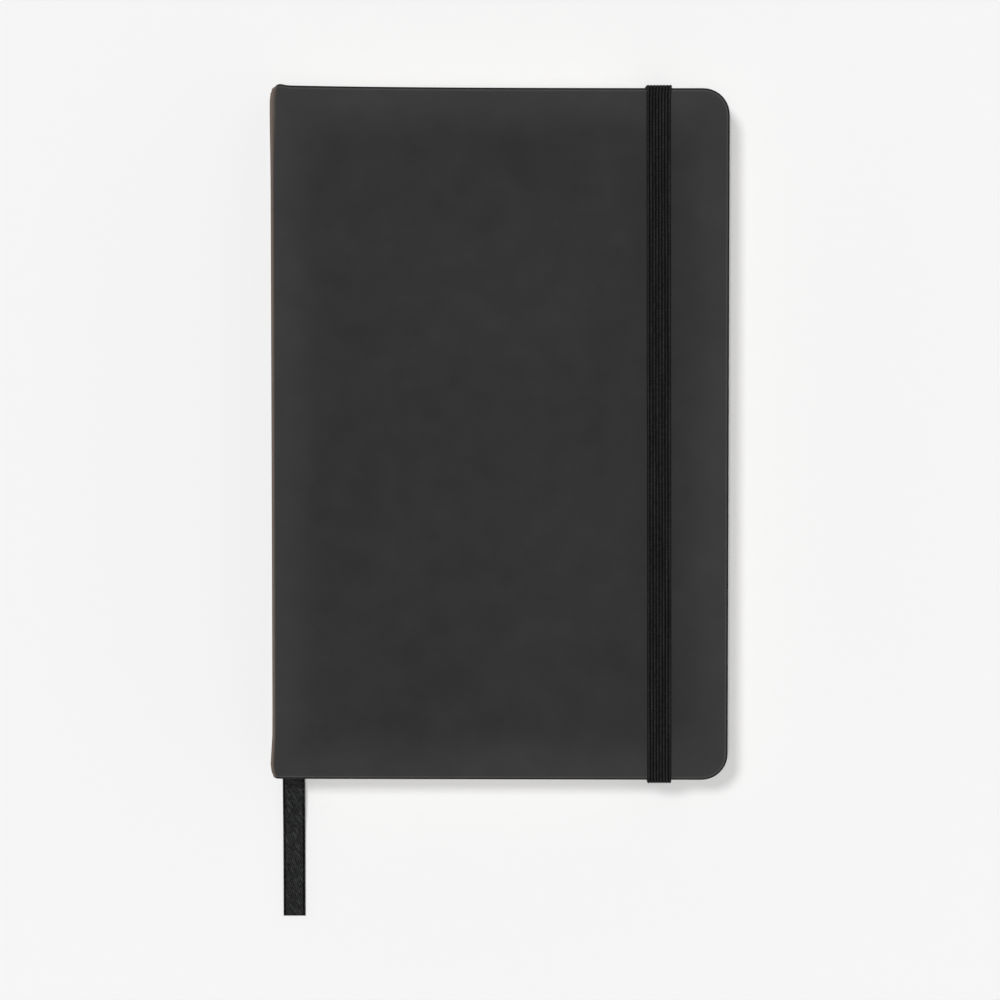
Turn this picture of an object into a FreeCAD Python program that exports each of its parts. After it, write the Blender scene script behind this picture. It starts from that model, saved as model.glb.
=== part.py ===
"""Hard-cover sketchbook with an elastic closure and a register ribbon.

The book lies on its back cover.  +X points to the fore-edge, +Y to the head and +Z up, and the
origin is on the table under the middle of the cover.  All sizes are in millimetres.
"""
import FreeCAD, Part
import math
import os

import Sketcher

SIGNATURES = 10          # sewn sections in the text block
SEWING_STATIONS = 5      # places along the spine where thread crosses the folds

# Driving dimensions: alias, value, meaning.
DIMENSIONS = (
    ("cover_width", 139.0, "spine face to fore-edge of the case"),
    ("cover_height", 210.0, "tail edge to head edge of the case"),
    ("cover_corner", 8.0, "radius of the two fore-edge corners"),
    ("skin", 0.4, "soft-touch covering"),
    ("board", 1.8, "grey board"),
    ("turn_in", 0.25, "covering folded over the inside of a board"),
    ("turn_in_depth", 15.0, "how far the covering is folded in"),
    ("endpaper", 0.15, "pastedown over the turned-in edges"),
    ("spine_card", 0.9, "stiff card inside the spine"),
    ("mull", 0.4, "lining glued over the folds"),
    ("hinge_radius", 1.0, "outer radius of the flexing skin at both spine edges"),
    ("board_gap", 0.8, "spine card to the edge of a board"),
    ("square", 3.0, "cover beyond the leaves on three edges"),
    ("fold_depth", 3.0, "spine face to the folds of the sections"),
    ("page_corner", 5.0, "radius of the leaf corners"),
    ("flyleaf", 0.2, "free half of an endpaper"),
    ("section", 1.058, "pitch of the sewn sections"),
    ("fold_share", 0.4, "rounding of a section's fold, as a part of its pitch"),
    ("leaf_gap", 0.02, "air between two sections"),
    ("play", 0.05, "air between a cover and the text block"),
    ("glue_gap", 0.05, "glue and air round a fitted piece"),
    ("thread", 0.5, "diameter of the sewing thread"),
    ("station_pitch", 40.0, "spacing of the sewing stations"),
    ("band_bead", 1.5, "diameter of the headband bead"),
    ("band_tongue", 6.0, "glued length of the headband cloth"),
    ("cloth", 0.2, "thickness of the headband cloth and of the ribbon"),
    ("ribbon_width", 6.8, "register ribbon"),
    ("ribbon_inset", 2.4, "spine face to the near edge of the ribbon"),
    ("ribbon_head", 12.0, "head edge of the leaves to the start of the ribbon"),
    ("ribbon_free", 4.0, "tail edge of the leaves to where the ribbon is free"),
    ("strap_width", 7.6, "elastic band"),
    ("strap_thick", 0.9, "elastic band"),
    ("strap_inset", 21.1, "fore-edge to the middle of the elastic band"),
    ("strap_slot", 10.0, "edge of the back board to the slot for the elastic"),
    ("strap_glued", 15.0, "length of elastic glued inside the board"),
    ("strap_air", 0.02, "air between the elastic band and the cover"),
    ("overcut", 1.0, "how far a cutting tool passes the face it opens"),
)

# Free end of the ribbon, as (distance out from the tail edge of the cover, drop from the block).
# The last two points lie on the table, so their height is taken from the table instead.
RIBBON_FALL = ((1.0, 0.0), (11.0, 1.25))
RIBBON_ON_TABLE = (21.0, 44.7)
TABLE_CLEARANCE = 0.02
ARC_SHARE = 0.45         # part of the shorter run that an arc of the ribbon takes up

STRAP_BEND = 0.8         # outer bend of the elastic, as a part of its thickness
ENDS = ("head", "tail")

# Size that an outline is drawn at before its own formulas set it: length, half height, corner.
SKETCH_START = (100.0, 60.0, 5.0)
ZERO = 1e-6

doc = FreeCAD.newDocument("sketchbook")
sheet = doc.addObject("Spreadsheet::Sheet", "size")
for row, (alias, value, meaning) in enumerate(DIMENSIONS, start=1):
    sheet.set("A%d" % row, meaning)
    sheet.set("B%d" % row, str(value))
    sheet.setAlias("B%d" % row, alias)
doc.recompute()


def cell(alias):
    """The number that the sheet holds under an alias."""
    return float(sheet.get(alias))


# Places, as expressions over the sheet.
SPINE = "(-size.cover_width / 2)"
FORE = "(size.cover_width / 2)"
HALF = "(size.cover_height / 2)"
PANEL = "(size.skin + size.board + size.turn_in + size.endpaper)"
HINGE = "(%s + size.hinge_radius)" % SPINE
CARD_IN = "(%s + size.skin + size.spine_card)" % SPINE
BOARD_EDGE = "(%s + size.board_gap)" % CARD_IN
WALL_START = "(%s + size.board_gap / 2)" % CARD_IN
FOLD = "(%s + size.fold_depth)" % SPINE
PAGE_FORE = "(%s - size.square)" % FORE
PAGE_HALF = "(%s - size.square)" % HALF
BLOCK_LOW = "(%s + size.play)" % PANEL
RIBBON_LOW = "(%s + size.flyleaf + size.leaf_gap / 2)" % BLOCK_LOW
SECTIONS_LOW = "(%s + size.flyleaf + size.cloth + size.leaf_gap)" % BLOCK_LOW
SECTIONS_TOP = "(%s + %d * size.section)" % (SECTIONS_LOW, SIGNATURES)
BLOCK_TOP = "(%s + size.flyleaf)" % SECTIONS_TOP
THICK = "(%s + size.play + %s)" % (BLOCK_TOP, PANEL)
RIBBON_NEAR = "(%s + size.ribbon_inset)" % SPINE
STRAP_NEAR = "(%s - size.strap_inset - size.strap_width / 2)" % FORE
STRAP_FAR = "(%s + size.strap_width)" % STRAP_NEAR

sub_parts = []


def bind(obj, prop, formula):
    """Bind one property of an object to a formula over the sheet."""
    obj.setExpression(prop, formula)


def keep(obj, label):
    """Name an object as a finished sub-part."""
    obj.Label = label
    sub_parts.append(obj)
    return obj


def box(name, x_range, y_range, z_range):
    """A Part::Box between three pairs of formulas."""
    shape = doc.addObject("Part::Box", name)
    for axis, prop, (low, high) in zip("xyz", ("Length", "Width", "Height"), (x_range, y_range, z_range)):
        bind(shape, "Placement.Base." + axis, low)
        bind(shape, prop, "%s - (%s)" % (high, low))
    return shape


def toward(end, y_low, y_high):
    """A y range at the head, or its mirror image at the tail."""
    return (y_low, y_high) if end == "head" else ("-(%s)" % y_high, "-(%s)" % y_low)


def rod(name, x_middle, y_middle, z_range, diameter):
    """An upright Part::Cylinder."""
    shape = doc.addObject("Part::Cylinder", name)
    bind(shape, "Placement.Base.x", x_middle)
    bind(shape, "Placement.Base.y", y_middle)
    bind(shape, "Placement.Base.z", z_range[0])
    bind(shape, "Radius", "%s / 2" % diameter)
    bind(shape, "Height", "%s - (%s)" % (z_range[1], z_range[0]))
    return shape


def fuse(name, pieces):
    """The union of several objects."""
    union = doc.addObject("Part::MultiFuse", name)
    union.Shapes = pieces
    return union


def cut(name, base, tool):
    """One object with another taken away."""
    result = doc.addObject("Part::Cut", name)
    result.Base = base
    result.Tool = tool
    return result


def plane_of(body, role):
    """One of a body's own origin planes."""
    return next(item for item in body.Origin.OriginFeatures if item.Role == role)


def slab(name, x_range, half, z_range, radius, fold=None):
    """A flat leaf or board with two rounded fore-edge corners, as a padded sketch.

    The sketch's own origin is the middle of the spine-side edge.  With fold set, the two long
    edges on the spine side are rounded as a folded section is.
    """
    body = doc.addObject("PartDesign::Body", name)
    sketch = body.newObject("Sketcher::SketchObject", name + "_outline")
    sketch.AttachmentSupport = [(plane_of(body, "XY_Plane"), "")]
    sketch.MapMode = "FlatFace"
    far, side, arc = SKETCH_START
    point = FreeCAD.Vector
    sketch.addGeometry([
        Part.LineSegment(point(0, side, 0), point(0, -side, 0)),
        Part.LineSegment(point(0, -side, 0), point(far - arc, -side, 0)),
        Part.ArcOfCircle(Part.Circle(point(far - arc, -side + arc, 0), point(0, 0, 1), arc),
                         -math.pi / 2, 0),
        Part.LineSegment(point(far, -side + arc, 0), point(far, side - arc, 0)),
        Part.ArcOfCircle(Part.Circle(point(far - arc, side - arc, 0), point(0, 0, 1), arc),
                         0, math.pi / 2),
        Part.LineSegment(point(far - arc, side, 0), point(0, side, 0)),
    ], False)
    join = Sketcher.Constraint
    sketch.addConstraint([
        join("Coincident", 0, 2, 1, 1),
        join("Tangent", 1, 2, 2, 1),
        join("Tangent", 2, 2, 3, 1),
        join("Tangent", 3, 2, 4, 1),
        join("Tangent", 4, 2, 5, 1),
        join("Coincident", 5, 2, 0, 1),
        join("Vertical", 0),
        join("Horizontal", 1),
        join("Vertical", 3),
        join("Horizontal", 5),
        join("Symmetric", 0, 1, 0, 2, -1, 1),
        join("Equal", 2, 4),
        join("Distance", 0, 2 * side),
        join("Distance", 3, 1, 0, far),
        join("Radius", 2, arc),
    ])
    sketch.renameConstraint(12, "height")
    sketch.renameConstraint(13, "length")
    sketch.renameConstraint(14, "corner")
    bind(sketch, "Constraints.height", "2 * (%s)" % half)
    bind(sketch, "Constraints.length", "%s - (%s)" % (x_range[1], x_range[0]))
    bind(sketch, "Constraints.corner", radius)
    pad = body.newObject("PartDesign::Pad", name + "_pad")
    pad.Profile = sketch
    bind(pad, "Length", "%s - (%s)" % (z_range[1], z_range[0]))
    bind(body, "Placement.Base.x", x_range[0])
    bind(body, "Placement.Base.z", z_range[0])
    doc.recompute()
    if fold:
        edges = []
        for index, edge in enumerate(pad.Shape.Edges, start=1):
            if all(abs(v.X) < ZERO for v in edge.Vertexes) and edge.BoundBox.YLength > cell("section"):
                edges.append("Edge%d" % index)
        fillet = body.newObject("PartDesign::Fillet", name + "_fold")
        fillet.Base = (pad, edges)
        bind(fillet, "Radius", fold)
        doc.recompute()
    return body


def level(side, low, high):
    """A height range that is measured from the outer face of the back or the front cover."""
    if side == "back":
        return (low, high)
    return ("%s - (%s)" % (THICK, high), "%s - (%s)" % (THICK, low))


def strap_cuts():
    """Channel, slot and glue recess for both ends of the elastic, in the back cover."""
    near = "%s - size.glue_gap" % STRAP_NEAR
    far = "%s + size.glue_gap" % STRAP_FAR
    slot = "(%s - size.skin - size.strap_slot)" % HALF
    channel = "size.strap_thick + 2 * size.strap_air"
    inner = "size.skin + size.board"
    reach = "%s - size.strap_thick - size.strap_glued" % slot
    tools = []
    for end in ENDS:
        spans = {
            "channel": ("%s - size.strap_thick" % slot, "%s + size.strap_thick" % HALF,
                        "-size.overcut", channel),
            "slot": ("%s - size.strap_thick - size.glue_gap" % slot, "%s + size.glue_gap" % slot,
                     "-size.overcut", inner + " + size.glue_gap"),
            "recess": ("%s - size.glue_gap" % reach, "%s + size.glue_gap" % slot,
                       inner + " - size.strap_thick - size.glue_gap", inner + " + size.glue_gap"),
        }
        for part_name, (y_low, y_high, z_low, z_high) in spans.items():
            tools.append(box("cut_%s_%s" % (part_name, end), (near, far), toward(end, y_low, y_high),
                             (z_low, z_high)))
    return tools


def cover(side):
    """One board with its covering, turned in on three edges, and its pastedown."""
    skin_in = "size.skin + size.board"
    paper = "%s + size.turn_in" % skin_in
    board = slab(side + "_board_sheet",
                 (BOARD_EDGE, FORE + " - size.skin"), HALF + " - size.skin",
                 level(side, "size.skin", skin_in), "size.cover_corner - size.skin")
    outside = slab(side + "_wrap_blank", (HINGE, FORE), HALF, level(side, "0", paper), "size.cover_corner")
    cavity = slab(side + "_board_space", (SPINE, FORE + " - size.skin"), HALF + " - size.skin",
                  level(side, "size.skin", skin_in), "size.cover_corner - size.skin")
    window = box(side + "_window", (SPINE, FORE + " - size.turn_in_depth"),
                 ("-%s + size.turn_in_depth" % HALF, HALF + " - size.turn_in_depth"),
                 level(side, skin_in, paper + " + size.overcut"))
    relief = box(side + "_relief", (SPINE, WALL_START),
                 ("-%s - size.overcut" % HALF, HALF + " + size.overcut"),
                 level(side, "size.skin", paper + " + size.overcut"))
    tools = [cavity, window, relief]
    if side == "back":
        strap = strap_cuts()
        board = cut("back_board", board, fuse("board_cuts", strap))
        tools.extend(strap)
    keep(board, side + "_board")
    keep(cut(side + "_cover_wrap", outside, fuse(side + "_wrap_cuts", tools)), side + "_cover_wrap")
    sheet_part = slab(side + "_paste_sheet", (BOARD_EDGE, PAGE_FORE), PAGE_HALF,
                      level(side, paper, PANEL), "size.page_corner")
    inlay = box(side + "_paste_inlay", (BOARD_EDGE, FORE + " - size.turn_in_depth - size.glue_gap"),
                ("-%s + size.turn_in_depth + size.glue_gap" % HALF,
                 HALF + " - size.turn_in_depth - size.glue_gap"), level(side, skin_in, paper))
    keep(fuse(side + "_pastedown", [sheet_part, inlay]), side + "_pastedown")


def hinge_skin(side):
    """The quarter-round strip of covering that bends between the spine and one board."""
    outer = doc.addObject("Part::Cylinder", side + "_bend_outer")
    inner = doc.addObject("Part::Cylinder", side + "_bend_inner")
    turn = FreeCAD.Rotation(FreeCAD.Vector(1, 0, 0), 90)
    start = 180 if side == "back" else 90
    upright = FreeCAD.Vector(0, 0, 1)
    for shape, radius in ((outer, "size.hinge_radius"), (inner, "size.hinge_radius - size.skin")):
        shape.Placement = FreeCAD.Placement(FreeCAD.Vector(), turn * FreeCAD.Rotation(upright, start))
        shape.Angle = 90
        bind(shape, "Radius", radius)
        bind(shape, "Height", "size.cover_height")
        bind(shape, "Placement.Base.x", HINGE)
        bind(shape, "Placement.Base.y", HALF)
        bind(shape, "Placement.Base.z", level(side, "size.hinge_radius", "size.hinge_radius")[0])
    keep(cut(side + "_hinge_skin", outer, inner), side + "_hinge_skin")


def spine():
    """Spine card, its covering with head and tail turn-ins, lining, headbands and sewing."""
    skin_x = "%s + size.skin" % SPINE
    rise = ("size.hinge_radius", "%s - size.hinge_radius" % THICK)
    card_z = ("size.hinge_radius + size.glue_gap", "%s - size.hinge_radius - size.glue_gap" % THICK)
    keep(box("spine_strip", (skin_x, CARD_IN), ("-%s + size.skin" % HALF, HALF + " - size.skin"), card_z),
         "spine_strip")
    face = box("spine_face", (SPINE, skin_x), ("-" + HALF, HALF), rise)
    flaps = [face]
    for end in ENDS:
        edge = toward(end, HALF + " - size.skin", HALF)
        inside = toward(end, HALF + " - size.turn_in_depth", HALF)
        flaps.append(box("spine_edge_" + end, (skin_x, CARD_IN), edge, card_z))
        flaps.append(box("spine_flap_" + end, (CARD_IN, CARD_IN + " + size.turn_in"), inside,
                         (BLOCK_LOW, BLOCK_TOP)))
    keep(fuse("spine_wrap", flaps), "spine_wrap")
    lining_in = "(%s + size.turn_in + size.mull)" % CARD_IN
    lining_z = (SECTIONS_LOW, SECTIONS_TOP)
    keep(box("spine_lining", (lining_in + " - size.mull", lining_in),
             ("-%s + size.square" % PAGE_HALF, PAGE_HALF + " - size.square"), lining_z), "spine_lining")
    tongue_in = "%s + size.glue_gap + size.cloth" % lining_in
    bead_y = "(%s + size.band_bead / 2 + size.leaf_gap)" % PAGE_HALF
    for end in ENDS:
        name = end + "band"
        bead = rod(name + "_bead", "%s + size.band_bead / 2 + size.glue_gap - size.mull / 2" % lining_in,
                   bead_y if end == "head" else "-" + bead_y, lining_z, "size.band_bead")
        tongue = box(name + "_tongue", (lining_in + " + size.glue_gap", tongue_in),
                     toward(end, PAGE_HALF + " - size.band_tongue", bead_y), lining_z)
        keep(fuse(name, [bead, tongue]), name)
    stitches = []
    for station in range(SEWING_STATIONS):
        offset = station - (SEWING_STATIONS - 1) / 2
        stitches.append(rod("stitch_%d" % station, "%s + size.thread / 2 + size.glue_gap" % lining_in,
                            "%s * size.station_pitch" % offset, lining_z, "size.thread"))
    keep(fuse("sewing_thread", stitches), "sewing_thread")
    glued_x = (lining_in + " + size.glue_gap", tongue_in)
    glued_top = "%s - size.band_tongue - size.glue_gap" % PAGE_HALF
    keep(box("ribbon_glued_end", glued_x, (glued_top + " - size.ribbon_head", glued_top),
             (SECTIONS_LOW, SECTIONS_LOW + " + size.ribbon_width")), "ribbon_glued_end")


def text_block():
    """Flyleaves and sewn sections, from the back cover up; section 1 is next to the front."""
    span = (FOLD, PAGE_FORE)
    keep(slab("back_flyleaf", span, PAGE_HALF, (BLOCK_LOW, BLOCK_LOW + " + size.flyleaf"),
              "size.page_corner"), "back_flyleaf")
    for number in range(SIGNATURES, 0, -1):
        low = "%s + %d * size.section" % (SECTIONS_LOW, SIGNATURES - number)
        name = "signature_%02d" % number
        keep(slab(name, span, PAGE_HALF, ("%s + size.leaf_gap / 2" % low,
                                          "%s + size.section - size.leaf_gap / 2" % low),
                  "size.page_corner", "size.section * size.fold_share"), name)
    keep(slab("front_flyleaf", span, PAGE_HALF, (SECTIONS_TOP, BLOCK_TOP), "size.page_corner"),
         "front_flyleaf")


def elastic():
    """The band over the front cover, its two legs, and its ends glued into the back board."""
    across = (STRAP_NEAR, STRAP_FAR)
    face = "(%s + size.strap_air)" % HALF
    outer = "%s + size.strap_thick" % face
    top = "(%s + size.strap_air)" % THICK
    low = "size.strap_air"
    channel_top = "(%s + size.strap_thick)" % low
    blank = box("elastic_run_blank", across, ("-(%s)" % outer, outer), (top, top + " + size.strap_thick"))
    doc.recompute()
    highest = blank.Shape.BoundBox.ZMax
    ends = [index for index, edge in enumerate(blank.Shape.Edges, start=1)
            if edge.BoundBox.XLength > cell("strap_thick") and edge.BoundBox.ZMin > highest - ZERO]
    run = doc.addObject("Part::Fillet", "elastic_run")
    run.Base = blank
    bend = cell("strap_thick") * STRAP_BEND
    run.Edges = [(index, bend, bend) for index in ends]
    keep(run, "elastic_run")
    slot = "(%s - size.skin - size.strap_slot)" % HALF
    inner = "size.skin + size.board"
    for end in ENDS:
        keep(box("elastic_leg_" + end, across, toward(end, face, outer), (channel_top, top)),
             "elastic_leg_" + end)
        foot = box("strap_foot_" + end, across, toward(end, slot + " - size.strap_thick", outer),
                   (low, channel_top))
        riser = box("strap_riser_" + end, across, toward(end, slot + " - size.strap_thick", slot),
                    (low, inner))
        flap = box("strap_flap_" + end, across,
                   toward(end, slot + " - size.strap_thick - size.strap_glued", slot),
                   (inner + " - size.strap_thick", inner))
        keep(fuse("elastic_anchor_" + end, [foot, riser, flap]), "elastic_anchor_" + end)


def ribbon():
    """The ribbon along the gutter, and its free end that falls to the table and lies on it."""
    near = (RIBBON_NEAR, RIBBON_NEAR + " + size.ribbon_width")
    free_y = cell("cover_height") / 2 - cell("square") - cell("ribbon_free")
    keep(box("ribbon", near, ("-%s + size.ribbon_free" % PAGE_HALF, PAGE_HALF + " - size.ribbon_head"),
             (RIBBON_LOW, RIBBON_LOW + " + size.cloth")), "ribbon")
    doc.recompute()
    lying = doc.getObject("ribbon").Shape.BoundBox
    half_cloth = cell("cloth") / 2
    edge = -cell("cover_height") / 2
    high = lying.ZMin + half_cloth
    table = TABLE_CLEARANCE + half_cloth
    route = [FreeCAD.Vector(0, -free_y, high)]
    route += [FreeCAD.Vector(0, edge - out, high - drop) for out, drop in RIBBON_FALL]
    route += [FreeCAD.Vector(0, edge - out, table) for out in RIBBON_ON_TABLE]
    path = rounded_path(route)
    start = route[0]
    corners = [start + FreeCAD.Vector(x, 0, z) for x, z in (
        (0, -half_cloth), (cell("ribbon_width"), -half_cloth),
        (cell("ribbon_width"), half_cloth), (0, half_cloth), (0, -half_cloth))]
    section = Part.makePolygon(corners)
    tail = doc.addObject("Part::Feature", "ribbon_tail")
    tail.Shape = path.makePipeShell([section], True, False)
    tail.Placement = FreeCAD.Placement(FreeCAD.Vector(lying.XMin, 0, 0), FreeCAD.Rotation())
    print("ribbon_tail: volume %.2f, section times length %.2f"
          % (tail.Shape.Volume, cell("ribbon_width") * cell("cloth") * path.Length))
    keep(tail, "ribbon_tail")


def rounded_path(points):
    """Straight runs joined by tangent arcs as large as the shorter of their two runs allows."""
    edges = []
    begin = points[0]
    for before, corner, after in zip(points, points[1:], points[2:]):
        back = before - corner
        ahead = after - corner
        turn = math.pi - back.getAngle(ahead)
        reach = ARC_SHARE * min(back.Length, ahead.Length)
        radius = reach / math.tan(turn / 2)
        back.normalize()
        ahead.normalize()
        enter = corner + back * reach
        leave = corner + ahead * reach
        bisector = (back + ahead).normalize()
        crown = corner + bisector * (radius / math.cos(turn / 2) - radius)
        edges.append(Part.LineSegment(begin, enter).toShape())
        edges.append(Part.Arc(enter, crown, leave).toShape())
        begin = leave
        print("ribbon arc: turn %.1f degrees, radius %.1f" % (math.degrees(turn), radius))
    edges.append(Part.LineSegment(begin, points[-1]).toShape())
    return Part.Wire(edges)


def check_and_write():
    """Stop on any failed object, then write each sub-part to its own file."""
    doc.recompute()
    for obj in doc.Objects:
        if {"Invalid", "Error"} & set(obj.State):
            raise RuntimeError("%s is %s" % (obj.Name, obj.State))
    os.makedirs("parts", exist_ok=True)
    for obj in sub_parts:
        if obj.Shape.isNull() or not obj.Shape.isValid() or not obj.Shape.Solids:
            raise RuntimeError("%s has no valid solid" % obj.Label)
        bounds = obj.Shape.BoundBox
        print("%-20s solids %d volume %9.1f  x %7.2f %7.2f  y %8.2f %8.2f  z %6.2f %6.2f" % (
            obj.Label, len(obj.Shape.Solids), obj.Shape.Volume, bounds.XMin, bounds.XMax,
            bounds.YMin, bounds.YMax, bounds.ZMin, bounds.ZMax))
        obj.Shape.exportStep(os.path.join("parts", obj.Label + ".step"))


cover("back")
cover("front")
hinge_skin("back")
hinge_skin("front")
spine()
text_block()
elastic()
ribbon()
check_and_write()
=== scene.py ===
"""Looks of a hard-cover sketchbook with an elastic closure and a register ribbon.

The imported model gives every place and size.  This script covers the boards with a soft-touch skin
that bends at both spine edges, folds the leaves of every sewn section, weaves the elastic and the
ribbon, and gives each piece a finish named for the real material.
"""
import logging
import math
from dataclasses import dataclass, field
from enum import Enum
from typing import Any

import bmesh
import bpy
import numpy as np
from bpy.types import ID, Material, Node, NodeSocket, NodeTree, Object
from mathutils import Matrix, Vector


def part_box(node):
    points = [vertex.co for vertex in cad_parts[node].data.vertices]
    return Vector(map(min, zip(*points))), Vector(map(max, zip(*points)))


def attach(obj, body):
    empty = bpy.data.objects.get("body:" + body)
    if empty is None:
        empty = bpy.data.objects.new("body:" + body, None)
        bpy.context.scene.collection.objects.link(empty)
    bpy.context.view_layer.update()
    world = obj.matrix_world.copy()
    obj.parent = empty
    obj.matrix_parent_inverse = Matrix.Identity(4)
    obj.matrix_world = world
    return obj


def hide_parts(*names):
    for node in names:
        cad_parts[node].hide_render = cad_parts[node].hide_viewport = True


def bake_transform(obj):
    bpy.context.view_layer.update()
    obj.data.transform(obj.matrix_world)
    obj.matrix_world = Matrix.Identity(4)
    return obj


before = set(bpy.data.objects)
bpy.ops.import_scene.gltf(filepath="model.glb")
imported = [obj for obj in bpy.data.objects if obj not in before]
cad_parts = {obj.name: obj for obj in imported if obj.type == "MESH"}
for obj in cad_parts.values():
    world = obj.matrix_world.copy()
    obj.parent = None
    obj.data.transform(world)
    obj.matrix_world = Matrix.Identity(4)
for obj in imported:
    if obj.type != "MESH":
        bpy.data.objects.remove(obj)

Array = np.ndarray
MM = 0.001
SECTIONS = 10
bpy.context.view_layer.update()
log = logging.getLogger("sketchbook")


# ---------------------------------------------------------------- surfaces


def smooth(t: Array) -> Array:
    """Ease from 0 to 1: three t squared less two t cubed, with t held between 0 and 1."""
    t = np.clip(t, 0.0, 1.0)
    return t * t * (3.0 - 2.0 * t)


def run_of(line: Array) -> Array:
    """Length along a line of points, up to each point."""
    return np.concatenate([[0.0], np.cumsum(np.linalg.norm(np.diff(line, axis=0), axis=1))])


def heading(line: Array) -> Array:
    """Unit direction of a line at each of its points."""
    step = np.gradient(line, axis=0)
    return step / np.linalg.norm(step, axis=1)[:, None]


def pair(first: Array, second: Array) -> Array:
    """Two arrays, spread to one shape and put together along a new last axis."""
    return np.stack(np.broadcast_arrays(first, second), -1)


def corner_of(node: str) -> tuple[Array, Array]:
    """Lowest and highest corner of a CAD node.

    Args:
        node: The node's name.

    Returns:
        Two arrays of three numbers, in metres.
    """
    low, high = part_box(node)
    return np.array(low, float), np.array(high, float)


@dataclass
class Patch:
    """Part of a surface: points, four-sided faces and a flat map in millimetres."""

    points: Array
    faces: Array
    flat: Array

    @classmethod
    def grid(cls, points: Array, flat: Array | None = None, ring: bool = False,
             turned: bool = False) -> "Patch":
        """Make a patch from a grid of points.

        Face (i, j) has the corners (i, j), (i + 1, j), (i + 1, j + 1) and (i, j + 1).

        Args:
            points: Array (rows, columns, 3), in metres.
            flat: Array (rows, columns, 2) of map coordinates, or None for zeros.
            ring: Whether the last column joins the first.
            turned: Whether the faces point the other way.

        Returns:
            The patch.
        """
        rows, columns = points.shape[:2]
        index = np.arange(rows * columns).reshape(rows, columns)
        if ring:
            index = np.concatenate([index, index[:, :1]], axis=1)
        faces = np.stack([index[:-1, :-1], index[1:, :-1], index[1:, 1:], index[:-1, 1:]], -1)
        faces = faces.reshape(-1, 4)
        if turned:
            faces = faces[:, ::-1]
        if flat is None:
            flat = np.zeros((rows, columns, 2))
        return cls(points.reshape(-1, 3), faces, flat.reshape(-1, 2))


def show(name: str, data: ID) -> Object:
    """Put data into the scene as an object at the origin.

    Args:
        name: The object's name.
        data: Its mesh, curve, camera or light.

    Returns:
        The object.
    """
    obj = bpy.data.objects.new(name, data)
    bpy.context.scene.collection.objects.link(obj)
    return obj


def build(name: str, patches: list[Patch], crease: float = 35.0, seal: bool = False) -> Object:
    """Join patches into one welded, smooth-shaded object.

    Args:
        name: The object's name.
        patches: The patches, whose shared borders are welded.
        crease: Edges sharper than this many degrees stay sharp.
        seal: Whether open borders that are left get a face.

    Returns:
        The object, at the origin.
    """
    starts = np.cumsum([0] + [len(patch.points) for patch in patches[:-1]])
    points = np.concatenate([patch.points for patch in patches])
    faces = np.concatenate([patch.faces + start for patch, start in zip(patches, starts)])
    flat = np.concatenate([patch.flat for patch in patches])
    mesh = bpy.data.meshes.new(name)
    mesh.from_pydata(points.tolist(), [], faces.tolist())
    layer = mesh.uv_layers.new(name="flat")
    corners = np.empty(len(mesh.loops), np.int32)
    mesh.loops.foreach_get("vertex_index", corners)
    layer.data.foreach_set("uv", flat[corners].astype(np.float32).ravel())
    work = bmesh.new()
    work.from_mesh(mesh)
    bmesh.ops.remove_doubles(work, verts=work.verts, dist=1e-6)
    bmesh.ops.dissolve_degenerate(work, dist=1e-7, edges=work.edges)
    if seal:
        border = [edge for edge in work.edges if edge.is_boundary]
        bmesh.ops.holes_fill(work, edges=border, sides=0)
    bmesh.ops.recalc_face_normals(work, faces=work.faces)
    work.to_mesh(mesh)
    work.free()
    mesh.shade_smooth()
    mesh.set_sharp_from_angle(angle=math.radians(crease))
    log.info("%s: %d faces", name, len(mesh.polygons))
    return show(name, mesh)


# ---------------------------------------------------------------- finishes

EASED = {"interpolation_type": "SMOOTHSTEP"}
TIMES = {"operation": "MULTIPLY"}
TIMES_HELD = {"operation": "MULTIPLY", "use_clamp": True}
TIMES_PLUS = {"operation": "MULTIPLY_ADD"}
SIZE_OF = {"operation": "ABSOLUTE"}
SINE = {"operation": "SINE"}
Source = Node | NodeSocket | float
Inputs = dict[str | int, Any]


def linear(code: str) -> tuple[float, float, float, float]:
    """Turn an sRGB hex colour into linear red, green, blue and alpha.

    Args:
        code: Six hex digits after a hash sign.

    Returns:
        Four numbers from 0 to 1.
    """
    raw = np.array([int(code[i:i + 2], 16) for i in (1, 3, 5)]) / 255.0
    value = np.where(raw <= 0.04045, raw / 12.92, ((raw + 0.055) / 1.055) ** 2.4)
    return (*[float(v) for v in value], 1.0)


def feed(tree: NodeTree, node: Node, inputs: Inputs) -> None:
    """Set or link a node's inputs.

    Args:
        tree: The material's node tree.
        node: The node.
        inputs: By input name or number: a value, a socket, or a node whose first output is meant.
    """
    for key, value in inputs.items():
        if isinstance(value, Node):
            value = next(socket for socket in value.outputs if socket.enabled)
        if isinstance(value, NodeSocket):
            tree.links.new(value, node.inputs[key])
        else:
            node.inputs[key].default_value = value


def add(tree: NodeTree, kind: str, settings: dict[str, Any] | None = None,
        inputs: Inputs | None = None) -> Node:
    """Add one shader node with its settings and links.

    Args:
        tree: The material's node tree.
        kind: The node's type name, without its ShaderNode prefix.
        settings: Node properties by name.
        inputs: What goes into it, as for feed.

    Returns:
        The node.
    """
    made = tree.nodes.new("ShaderNode" + kind)
    for key, value in (settings or {}).items():
        setattr(made, key, value)
    feed(tree, made, inputs or {})
    return made


def per_metre(millimetres: float) -> float:
    """Pattern scale for a feature of that many millimetres, in repeats per metre."""
    return 1.0 / (millimetres * MM)


def speckle(place: Source, scale: float, detail: float, rough: float = 0.5) -> Inputs:
    """Inputs of a noise, over coordinates, at a scale in repeats per unit of them."""
    return {"Vector": place, "Scale": scale, "Detail": detail, "Roughness": rough}


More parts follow.
